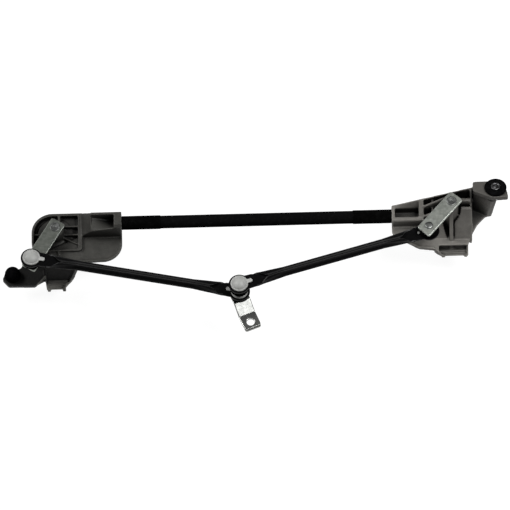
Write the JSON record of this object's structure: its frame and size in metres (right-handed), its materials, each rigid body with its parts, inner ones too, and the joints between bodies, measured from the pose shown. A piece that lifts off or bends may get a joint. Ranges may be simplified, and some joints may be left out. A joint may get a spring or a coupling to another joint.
{
  "type": "windshield wiper linkage",
  "caption": "Windshield wiper linkage: cast pivot brackets on a cross tube, drive levers on spindles, ball-jointed link rods and a Z-bent motor crank.",
  "frame": {"origin": "on the left spindle's axis, at the middle of its threaded end", "axes": "+X along the cross tube from the left to the right pivot; +Z towards the lever side, so the spindles point to -Z"},
  "size_m": [0.7103, 0.2016, 0.1309],
  "materials": {
    "cast_left": "dark matte die-cast, fine grain",
    "cast_right": "dark matte die-cast, fine grain",
    "tube_paint": "semi-gloss black paint",
    "rod_paint": "semi-gloss black electrocoat",
    "sleeve": "matte black shrink sleeve",
    "lever_zinc_left": "zinc plated, satin",
    "lever_zinc_right": "zinc plated, satin",
    "crank_zinc": "bright zinc plated",
    "stud_steel": "ground steel",
    "collar_steel": "plated steel",
    "nylon": "satin off-white nylon",
    "rubber": "matte black rubber",
    "bronze": "oil-filled sintered bronze"
  },
  "bodies": {
    "frame": {"bracket_left": "cast_left", "bracket_right": "cast_right", "cross_tube": "tube_paint", "tube_sleeve_left": "sleeve", "tube_sleeve_right": "sleeve", "pivot_bushes_left": "bronze", "pivot_bushes_right": "bronze", "spindle_seal_left": "rubber", "spindle_seal_right": "rubber", "peg_cap_left": "rubber", "grommet_right": "rubber", "grommet_collar_right": "collar_steel"},
    "drive_left": {"pivot_shaft_left": "stud_steel", "drive_lever_left": "lever_zinc_left", "ball_stud_left": "stud_steel", "thrust_washer_left": "stud_steel", "spindle_washer_left": "stud_steel", "retaining_ring_left": "collar_steel"},
    "drive_right": {"pivot_shaft_right": "stud_steel", "drive_lever_right": "lever_zinc_right", "ball_stud_right": "stud_steel", "thrust_washer_right": "stud_steel", "spindle_washer_right": "stud_steel", "retaining_ring_right": "collar_steel"},
    "link_left": {"link_rod_left": "rod_paint", "ball_socket_left_outer": "nylon", "ball_socket_left_inner": "nylon", "dust_boot_left_outer": "rubber", "dust_boot_left_inner": "rubber"},
    "link_right": {"link_rod_right": "rod_paint", "ball_socket_right_outer": "nylon", "ball_socket_right_inner": "nylon", "dust_boot_right_outer": "rubber", "dust_boot_right_inner": "rubber"},
    "crank": {"motor_crank": "crank_zinc", "double_ball_stud": "stud_steel"}
  },
  "joints": [
    {"name": "left_spindle", "type": "hinge", "parent": "frame", "child": "drive_left", "pos_m": [0, 0, 0.0678], "axis": [0, 0, 1], "range_deg": [-6, 74]},
    {"name": "right_spindle", "type": "hinge", "parent": "frame", "child": "drive_right", "pos_m": [0.556, -0.0017, 0.1173], "axis": [0, 0, 1], "range_deg": [-7.41, 86.86]},
    {"name": "left_lever_ball", "type": "hinge", "parent": "drive_left", "child": "link_left", "pos_m": [-0.03303, -0.0554, 0.0823], "axis": [0, 0, 1], "range_deg": [-78.51, 6.73]},
    {"name": "right_lever_ball", "type": "hinge", "parent": "drive_right", "child": "link_right", "pos_m": [0.5232, -0.03943, 0.1068], "axis": [0, 0, 1], "range_deg": [-83.75, 7.16]},
    {"name": "crank_ball", "type": "hinge", "parent": "link_left", "child": "crank", "pos_m": [0.2568, -0.1163, 0.0823], "axis": [0, 0, 1], "continuous": true}
  ],
  "couplings": [
    {"joint": "right_spindle", "follows": "left_spindle", "ratio": 1.1684},
    {"joint": "left_lever_ball", "follows": "left_spindle", "ratio": -1.0555},
    {"joint": "right_lever_ball", "follows": "left_spindle", "ratio": -1.1263}
  ]
}
